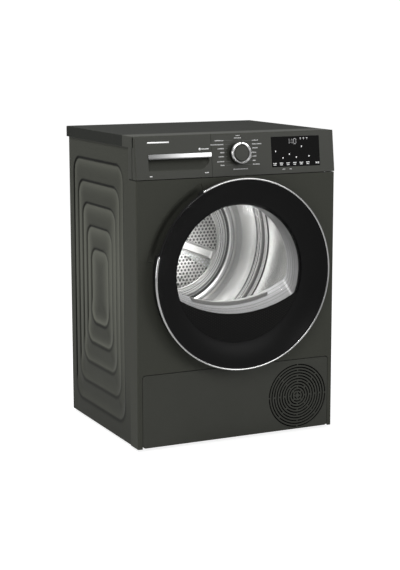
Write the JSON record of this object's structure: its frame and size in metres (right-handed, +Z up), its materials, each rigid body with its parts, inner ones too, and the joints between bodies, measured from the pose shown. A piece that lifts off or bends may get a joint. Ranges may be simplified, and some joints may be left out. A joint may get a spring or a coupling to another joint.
{
  "type": "clothes dryer",
  "caption": "Front-loading clothes dryer with a round glass door, slanted control fascia, water-tank drawer, programme knob and hinged kick plate.",
  "frame": {"origin": "on the floor, under the middle of the machine's overall box", "axes": "+X to the user's right, +Y from the door to the back, +Z up"},
  "size_m": [0.597, 0.609, 0.846],
  "materials": {
    "panel_paint": "satin anthracite baked paint",
    "top_laminate": "satin anthracite laminate",
    "fascia_plastic": "fine-textured anthracite moulding",
    "black_gloss": "polished black moulding",
    "bright_trim": "satin bright trim",
    "display_glass": "polished black window",
    "clear_glass": "clear glass",
    "black_plastic": "moulded black plastic",
    "light_plastic": "moulded light grey plastic",
    "drum_steel": "bright stainless steel",
    "zinc_steel": "zinc-coated steel",
    "duct_plastic": "moulded grey plastic",
    "seal_rubber": "black rubber",
    "felt": "grey felt",
    "pulley_plastic": "natural nylon",
    "bearing_metal": "ground steel",
    "motor_paint": "black enamel",
    "fin_aluminium": "thin bare fins",
    "foot_rubber": "moulded black foot"
  },
  "bodies": {
    "cabinet": {"side_panel_left": "panel_paint", "side_panel_right": "panel_paint", "front_panel": "panel_paint", "worktop": "top_laminate", "control_panel": "fascia_plastic", "worktop_front_trim": "fascia_plastic", "display_window": "display_glass", "control_module": "black_plastic", "door_catch": "black_plastic", "evaporator_cover": "black_plastic", "fan_shroud": "black_plastic", "mains_inlet": "black_plastic", "front_bulkhead": "light_plastic", "tank_tray": "light_plastic", "rear_panel": "zinc_steel", "rear_bulkhead": "zinc_steel", "motor_mount": "zinc_steel", "hinge_bracket": "zinc_steel", "hinge_pin": "zinc_steel", "roller_axles": "zinc_steel", "rear_air_duct": "duct_plastic", "base_tray": "duct_plastic", "door_seal": "seal_rubber", "drum_belt": "seal_rubber", "drum_seals": "felt", "drum_bearing": "bearing_metal", "drive_motor": "motor_paint", "compressor": "motor_paint", "heat_exchangers": "fin_aluminium", "rear_feet": "foot_rubber"},
    "door": {"door_outer_ring": "black_gloss", "door_chrome_ring": "bright_trim", "door_window": "clear_glass", "door_glass_bowl": "clear_glass", "door_inner_frame": "black_plastic", "door_latch_hook": "zinc_steel", "hinge_arm": "zinc_steel"},
    "knob": {"knob_body": "black_gloss", "knob_ring": "bright_trim", "knob_cap": "fascia_plastic"},
    "tank": {"tank_front": "fascia_plastic", "tank_handle_trim": "bright_trim", "tank_body": "light_plastic"},
    "drum": {"drum_shell": "drum_steel", "drum_rear_wall": "drum_steel", "drum_rear_grille": "drum_steel", "drum_lifters": "black_plastic"},
    "lint_filter": {"lint_filter_frame": "light_plastic"},
    "kick_flap": {"kick_plate": "fascia_plastic"},
    "motor_rotor": {"motor_shaft": "zinc_steel", "blower_wheel": "duct_plastic"},
    "idler_lever": {"idler_arm": "zinc_steel"},
    "idler_wheel": {"idler_pulley": "pulley_plastic"},
    "fan_rotor": {"cooling_fan": "black_plastic"},
    "roller_left": {"drum_roller_left": "seal_rubber"},
    "roller_right": {"drum_roller_right": "seal_rubber"},
    "latch_left": {"cover_latch_left": "black_plastic"},
    "latch_right": {"cover_latch_right": "black_plastic"},
    "foot_left": {"foot_front_left": "foot_rubber"},
    "foot_right": {"foot_front_right": "foot_rubber"}
  },
  "joints": [
    {"name": "door_hinge", "type": "hinge", "parent": "cabinet", "child": "door", "pos_m": [0.252, -0.2845, 0.469], "axis": [0, 0, 1], "range_deg": [0, 130]},
    {"name": "knob_turn", "type": "hinge", "parent": "cabinet", "child": "knob", "pos_m": [0.004, -0.25297, 0.792], "axis": [0, -0.9925, 0.1226], "continuous": true},
    {"name": "tank_slide", "type": "slide", "parent": "cabinet", "child": "tank", "axis": [0, -1, 0], "range_m": [0, 0.42]},
    {"name": "drum_spin", "type": "hinge", "parent": "cabinet", "child": "drum", "pos_m": [0, 0, 0.5], "axis": [0, 1, 0], "continuous": true},
    {"name": "motor_spin", "type": "hinge", "parent": "cabinet", "child": "motor_rotor", "pos_m": [0.02, 0, 0.12], "axis": [0, 1, 0], "continuous": true},
    {"name": "roller_left_spin", "type": "hinge", "parent": "cabinet", "child": "roller_left", "pos_m": [-0.12596, -0.1861, 0.26308], "axis": [0, 1, 0], "continuous": true},
    {"name": "roller_right_spin", "type": "hinge", "parent": "cabinet", "child": "roller_right", "pos_m": [0.12596, -0.1861, 0.26308], "axis": [0, 1, 0], "continuous": true},
    {"name": "idler_swing", "type": "hinge", "parent": "cabinet", "child": "idler_lever", "pos_m": [-0.055, 0.0545, 0.095], "axis": [0, -1, 0], "range_deg": [0, 10], "stiffness_Nm_per_rad": 6, "springref_deg": -20.05},
    {"name": "idler_spin", "type": "hinge", "parent": "idler_lever", "child": "idler_wheel", "pos_m": [-0.06077, 0.0455, 0.15718], "axis": [0, 1, 0], "continuous": true},
    {"name": "cooling_fan_spin", "type": "hinge", "parent": "cabinet", "child": "fan_rotor", "pos_m": [0.1882, -0.2065, 0.1053], "axis": [0, 1, 0], "continuous": true},
    {"name": "filter_lift", "type": "slide", "parent": "cabinet", "child": "lint_filter", "axis": [0, 0, 1], "range_m": [0, 0.15]},
    {"name": "kick_flap_hinge", "type": "hinge", "parent": "cabinet", "child": "kick_flap", "pos_m": [0, -0.2505, 0.0155], "axis": [1, 0, 0], "range_deg": [0, 85]},
    {"name": "latch_left_turn", "type": "hinge", "parent": "cabinet", "child": "latch_left", "pos_m": [-0.236, -0.2145, 0.18], "axis": [0, 1, 0], "range_deg": [0, 90]},
    {"name": "latch_right_turn", "type": "hinge", "parent": "cabinet", "child": "latch_right", "pos_m": [-0.068, -0.2145, 0.18], "axis": [0, 1, 0], "range_deg": [0, 90]},
    {"name": "foot_left_screw", "type": "slide", "parent": "cabinet", "child": "foot_left", "axis": [0, 0, -1], "range_m": [0, 0.012]},
    {"name": "foot_right_screw", "type": "slide", "parent": "cabinet", "child": "foot_right", "axis": [0, 0, -1], "range_m": [0, 0.012]}
  ],
  "couplings": [
    {"joint": "motor_spin", "follows": "drum_spin", "ratio": 29.272},
    {"joint": "roller_left_spin", "follows": "drum_spin", "ratio": -7.933},
    {"joint": "roller_right_spin", "follows": "drum_spin", "ratio": -7.933},
    {"joint": "idler_spin", "follows": "drum_spin", "ratio": -16.891}
  ]
}
